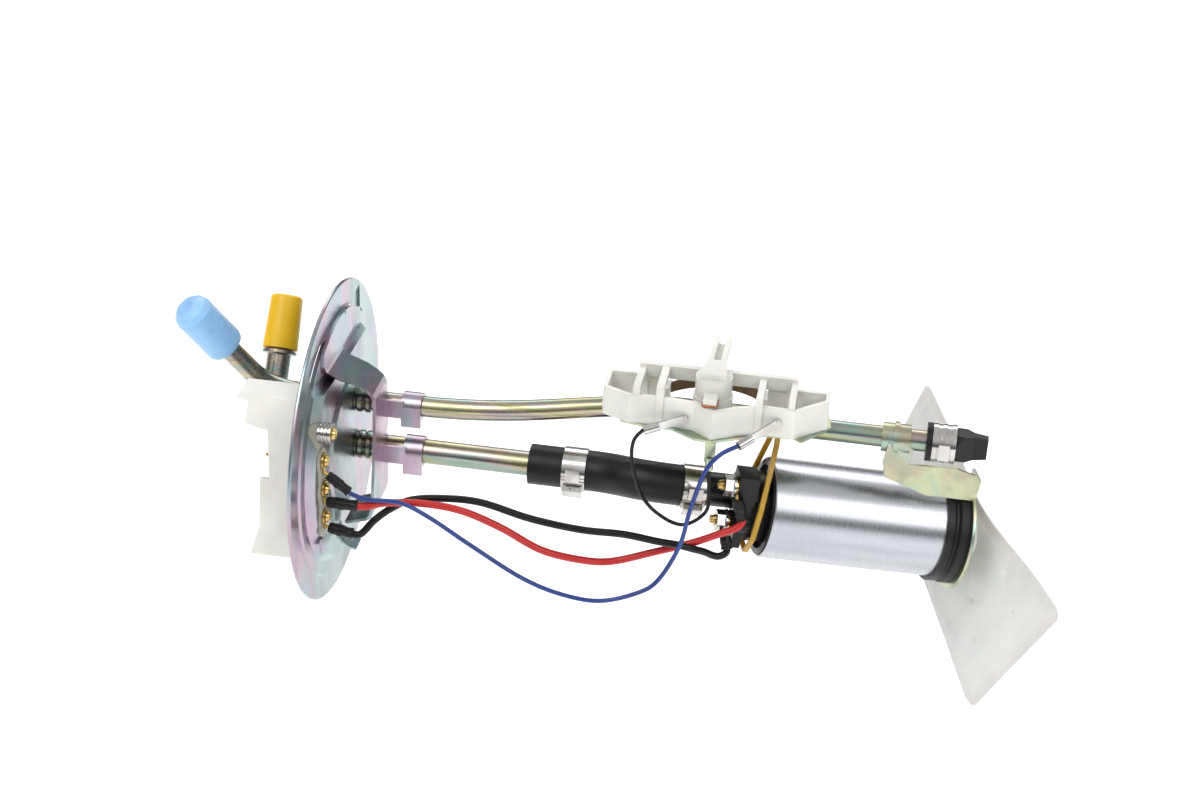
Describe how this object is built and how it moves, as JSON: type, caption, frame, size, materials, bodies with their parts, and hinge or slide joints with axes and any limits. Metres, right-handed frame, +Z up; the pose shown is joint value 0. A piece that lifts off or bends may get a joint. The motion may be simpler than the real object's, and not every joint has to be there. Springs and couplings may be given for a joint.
{
  "type": "fuel pump module",
  "caption": "In-tank fuel pump and level sender module: round tank flange with supply and return tubes, sender frame, electric pump in a rubber boot and a cloth strainer.",
  "frame": {"origin": "centre of the tank flange on its tank side sealing face", "axes": "+X is the flange normal pointing into the tank, +Z is up as pictured, +Y is away from the viewer"},
  "size_m": [0.3308, 0.1635, 0.1543],
  "materials": {
    "zinc_flange": "bright zinc with a faint pink and blue tint",
    "zinc_tube": "yellow zinc, satin",
    "zinc_bracket": "pale yellow zinc, satin",
    "bright_steel": "bright plated",
    "nylon": "natural white nylon",
    "grey_insulator": "grey beige moulding",
    "brass": "plain",
    "copper": "copper",
    "black_rubber": "matte",
    "black_plastic": "matte",
    "pump_aluminium": "brushed",
    "steel_core": "laminated steel and copper winding",
    "ferrite": "matte",
    "carbon": "matte",
    "strainer_cloth": "off white filter cloth",
    "amber_rubber": "amber band",
    "blue_vinyl": "soft translucent blue",
    "yellow_plastic": "soft yellow",
    "blue_insulation": "satin",
    "red_insulation": "satin",
    "black_insulation": "satin",
    "card": "resistor ink on ceramic"
  },
  "bodies": {
    "module": {"flange_plate": "zinc_flange", "connector_housing": "nylon", "connector_pins": "brass", "terminal_insulator": "grey_insulator", "terminal_stack": "bright_steel", "hanger_bracket": "zinc_bracket", "supply_tube": "zinc_tube", "return_tube": "zinc_tube", "fuel_hose": "black_rubber", "hose_clamp_front": "bright_steel", "hose_clamp_rear": "bright_steel", "sender_base_plate": "zinc_bracket", "sender_housing": "nylon", "resistor_card": "card", "sender_terminals": "bright_steel", "ground_terminal": "zinc_bracket", "blue_wire": "blue_insulation", "red_wire": "red_insulation", "black_wire": "black_insulation", "ground_wire": "black_insulation", "ring_terminals": "brass", "wire_sleeves": "black_rubber", "pump_shell": "pump_aluminium", "pump_end_cap": "black_plastic", "terminal_studs": "brass", "stud_nuts": "bright_steel", "magnet_left": "ferrite", "magnet_right": "ferrite", "front_bush": "brass", "rear_bush": "brass", "brush_left": "carbon", "brush_right": "carbon", "brush_springs": "bright_steel", "inlet_body": "nylon", "inlet_cover": "nylon", "rubber_boot": "black_rubber", "pump_bracket": "zinc_bracket", "strainer_hub": "nylon", "strainer": "strainer_cloth", "duckbill_valve": "black_rubber", "valve_clamp": "bright_steel", "retaining_band": "amber_rubber"},
    "sender_rotor": {"sender_rotor": "nylon", "wiper_contact": "copper"},
    "armature": {"armature": "steel_core", "impeller": "nylon"},
    "check_valve": {"outlet_check_valve": "bright_steel"},
    "relief_valve": {"relief_valve": "bright_steel"},
    "blue_cap": {"blue_cap": "blue_vinyl"},
    "yellow_cap": {"yellow_cap": "yellow_plastic"}
  },
  "joints": [
    {"name": "sender_swing", "type": "hinge", "parent": "module", "child": "sender_rotor", "pos_m": [0.1415, 0.0025, 0.036], "axis": [0, 0, 1], "range_deg": [-38, 38]},
    {"name": "armature_spin", "type": "hinge", "parent": "module", "child": "armature", "pos_m": [0.19136, 0.01688, -0.01733], "axis": [0.9553, 0.256, -0.1478], "continuous": true},
    {"name": "check_valve_lift", "type": "slide", "parent": "module", "child": "check_valve", "axis": [-0.9553, -0.256, 0.1478], "range_m": [0, 0.0015]},
    {"name": "relief_valve_lift", "type": "slide", "parent": "module", "child": "relief_valve", "axis": [0.9553, 0.256, -0.1478], "range_m": [0, 0.0012]},
    {"name": "blue_cap_pull", "type": "slide", "parent": "module", "child": "blue_cap", "axis": [-0.4604, -0.3833, 0.8007], "range_m": [0, 0.03]},
    {"name": "yellow_cap_pull", "type": "slide", "parent": "module", "child": "yellow_cap", "axis": [0, 0.5593, 0.829], "range_m": [0, 0.03]}
  ]
}
